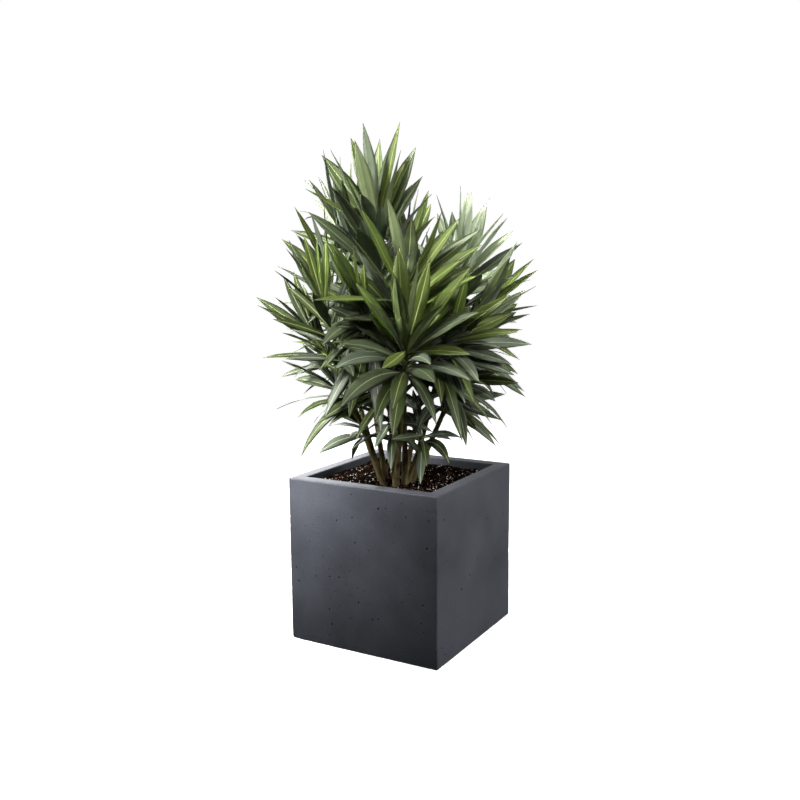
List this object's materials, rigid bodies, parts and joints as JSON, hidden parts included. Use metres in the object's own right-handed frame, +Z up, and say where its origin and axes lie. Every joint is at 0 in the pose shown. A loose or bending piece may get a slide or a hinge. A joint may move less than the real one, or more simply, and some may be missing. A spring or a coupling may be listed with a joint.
{
  "type": "potted oleander",
  "caption": "Young multi-stemmed evergreen shrub with long lance-shaped leaves in whorls, rooted in a plain cubic planter filled with soil.",
  "frame": {"origin": "centre of the planter's flat underside, which stands on the ground", "axes": "+Z up along the planter and the plant; X and Y along the planter's sides, with -Y through its wide front face"},
  "size_m": [0.4884, 0.4794, 0.9085],
  "materials": {
    "planter": "matte to satin cast fibre clay, anthracite",
    "soil": "moist dark potting soil with pale specks",
    "bark": "smooth olive-brown bark with leaf scars",
    "leaf": "leathery semi-matte leaf with a pale midrib"
  },
  "bodies": {
    "root": {"planter": "planter", "soil": "soil", "stem_top": "bark", "stem_front": "bark", "stem_centre": "bark", "stem_pale": "bark", "stem_right": "bark", "stem_left": "bark", "stem_upper_left": "bark", "stem_back_right": "bark", "stem_back": "bark", "stem_back_left": "bark", "bough_right_low": "bark", "bough_far_left": "bark", "bough_top_left": "bark", "bough_centre_left": "bark", "bough_lower_front": "bark", "bough_lower_right": "bark", "bough_far_right": "bark", "bough_bottom_right": "bark", "bough_bottom_left": "bark", "bough_back_low_right": "bark", "bough_back_middle": "bark", "bough_back_low_left": "bark", "bough_thin_left": "bark", "bough_low_front": "bark", "bough_low_right": "bark", "bough_low_left": "bark", "leaves_top": "leaf", "leaves_front": "leaf", "leaves_centre": "leaf", "leaves_right_low": "leaf", "leaves_pale": "leaf", "leaves_right": "leaf", "leaves_left": "leaf", "leaves_upper_left": "leaf", "leaves_far_left": "leaf", "leaves_top_left": "leaf", "leaves_centre_left": "leaf", "leaves_lower_front": "leaf", "leaves_lower_right": "leaf", "leaves_far_right": "leaf", "leaves_bottom_right": "leaf", "leaves_bottom_left": "leaf", "leaves_back_right": "leaf", "leaves_back": "leaf", "leaves_back_left": "leaf", "leaves_back_low_right": "leaf", "leaves_back_middle": "leaf", "leaves_back_low_left": "leaf", "leaves_thin_left": "leaf", "leaves_low_front": "leaf", "leaves_low_right": "leaf", "leaves_low_left": "leaf"}
  },
  "joints": []
}
